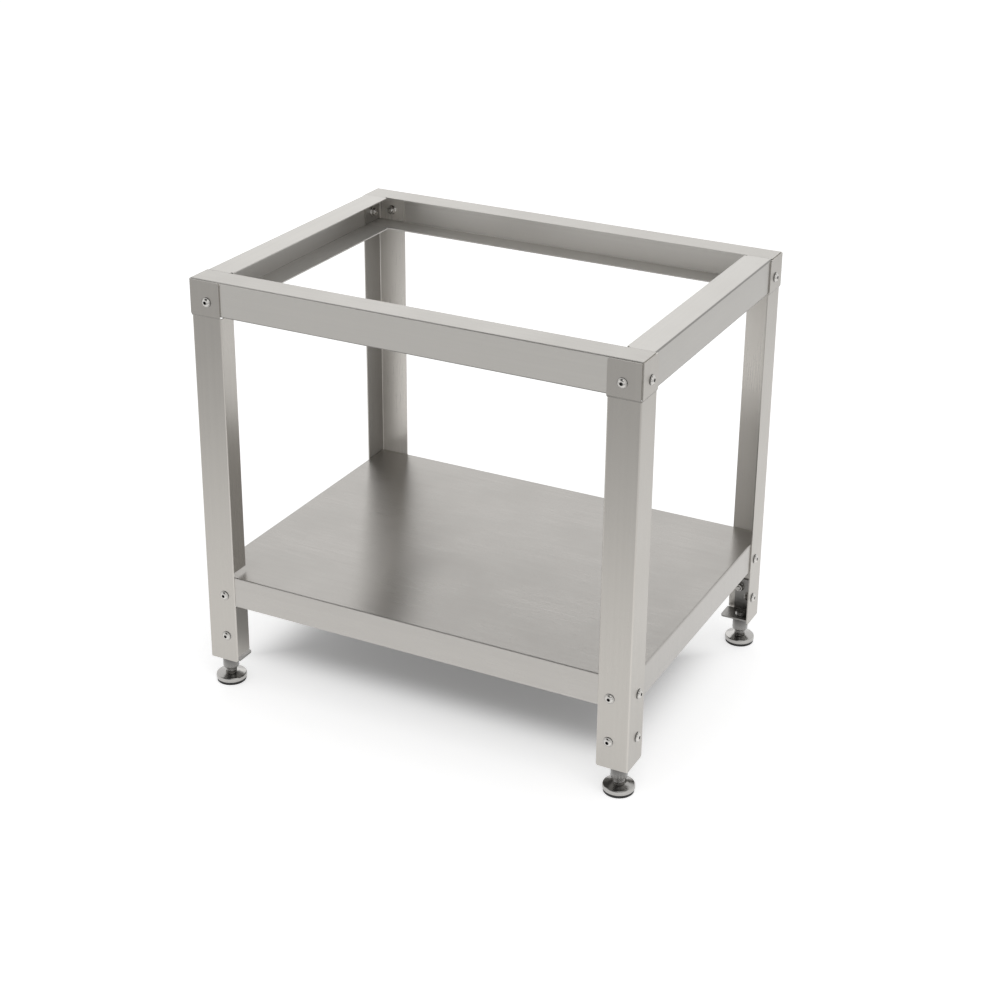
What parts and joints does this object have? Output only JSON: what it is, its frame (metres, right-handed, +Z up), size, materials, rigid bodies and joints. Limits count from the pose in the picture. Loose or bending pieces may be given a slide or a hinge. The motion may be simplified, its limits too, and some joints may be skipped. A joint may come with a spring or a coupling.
{
  "type": "outdoor pizza oven table",
  "caption": "Stainless steel table for an outdoor oven: an open top frame on folded legs, with a tray undershelf and levelling feet.",
  "frame": {"origin": "on the floor, under the middle of the table", "axes": "+X to the right along the width, +Y to the back, +Z up"},
  "size_m": [0.8092, 0.6092, 0.75],
  "materials": {
    "frame_steel": "brushed along the rails",
    "leg_steel": "brushed along the legs",
    "shelf_steel": "finely brushed",
    "bracket_steel": "plain mill finish",
    "foot_steel": "turned",
    "thread_steel": "threaded, lightly oiled",
    "bolt_steel": "satin",
    "foot_rubber": "matt black"
  },
  "bodies": {
    "stand": {"rail_front": "frame_steel", "rail_rear": "frame_steel", "rail_left": "frame_steel", "rail_right": "frame_steel", "undershelf": "shelf_steel", "shelf_stiffener": "shelf_steel", "leg_front_left": "leg_steel", "corner_angle_front_left": "frame_steel", "foot_bracket_front_left": "bracket_steel", "foot_boss_front_left": "foot_steel", "leg_front_right": "leg_steel", "corner_angle_front_right": "frame_steel", "foot_bracket_front_right": "bracket_steel", "foot_boss_front_right": "foot_steel", "leg_rear_right": "leg_steel", "corner_angle_rear_right": "frame_steel", "foot_bracket_rear_right": "bracket_steel", "foot_boss_rear_right": "foot_steel", "leg_rear_left": "leg_steel", "corner_angle_rear_left": "frame_steel", "foot_bracket_rear_left": "bracket_steel", "foot_boss_rear_left": "foot_steel", "top_frame_bolts": "bolt_steel", "top_frame_nuts": "bolt_steel", "shelf_bolts": "bolt_steel", "shelf_nuts": "bolt_steel", "foot_bracket_bolts": "bolt_steel", "foot_bracket_nuts": "bolt_steel"},
    "foot_disc_front_left": {"foot_base_front_left": "foot_steel", "foot_pad_front_left": "foot_rubber"},
    "foot_screw_front_left": {"foot_stem_front_left": "thread_steel"},
    "foot_disc_front_right": {"foot_base_front_right": "foot_steel", "foot_pad_front_right": "foot_rubber"},
    "foot_screw_front_right": {"foot_stem_front_right": "thread_steel"},
    "foot_disc_rear_right": {"foot_base_rear_right": "foot_steel", "foot_pad_rear_right": "foot_rubber"},
    "foot_screw_rear_right": {"foot_stem_rear_right": "thread_steel"},
    "foot_disc_rear_left": {"foot_base_rear_left": "foot_steel", "foot_pad_rear_left": "foot_rubber"},
    "foot_screw_rear_left": {"foot_stem_rear_left": "thread_steel"}
  },
  "joints": [
    {"name": "foot_height_front_left", "type": "slide", "parent": "stand", "child": "foot_disc_front_left", "axis": [0, 0, -1], "range_m": [-0.008, 0.015]},
    {"name": "foot_turn_front_left", "type": "hinge", "parent": "foot_disc_front_left", "child": "foot_screw_front_left", "pos_m": [-0.374, -0.274, 0.018], "axis": [0, 0, -1], "range_deg": [-1152, 2160]},
    {"name": "foot_height_front_right", "type": "slide", "parent": "stand", "child": "foot_disc_front_right", "axis": [0, 0, -1], "range_m": [-0.008, 0.015]},
    {"name": "foot_turn_front_right", "type": "hinge", "parent": "foot_disc_front_right", "child": "foot_screw_front_right", "pos_m": [0.374, -0.274, 0.018], "axis": [0, 0, -1], "range_deg": [-1152, 2160]},
    {"name": "foot_height_rear_right", "type": "slide", "parent": "stand", "child": "foot_disc_rear_right", "axis": [0, 0, -1], "range_m": [-0.008, 0.015]},
    {"name": "foot_turn_rear_right", "type": "hinge", "parent": "foot_disc_rear_right", "child": "foot_screw_rear_right", "pos_m": [0.374, 0.274, 0.018], "axis": [0, 0, -1], "range_deg": [-1152, 2160]},
    {"name": "foot_height_rear_left", "type": "slide", "parent": "stand", "child": "foot_disc_rear_left", "axis": [0, 0, -1], "range_m": [-0.008, 0.015]},
    {"name": "foot_turn_rear_left", "type": "hinge", "parent": "foot_disc_rear_left", "child": "foot_screw_rear_left", "pos_m": [-0.374, 0.274, 0.018], "axis": [0, 0, -1], "range_deg": [-1152, 2160]}
  ],
  "couplings": [
    {"joint": "foot_turn_front_left", "follows": "foot_height_front_left", "rad_per_m": 2513.3},
    {"joint": "foot_turn_front_right", "follows": "foot_height_front_right", "rad_per_m": 2513.3},
    {"joint": "foot_turn_rear_right", "follows": "foot_height_rear_right", "rad_per_m": 2513.3},
    {"joint": "foot_turn_rear_left", "follows": "foot_height_rear_left", "rad_per_m": 2513.3}
  ]
}
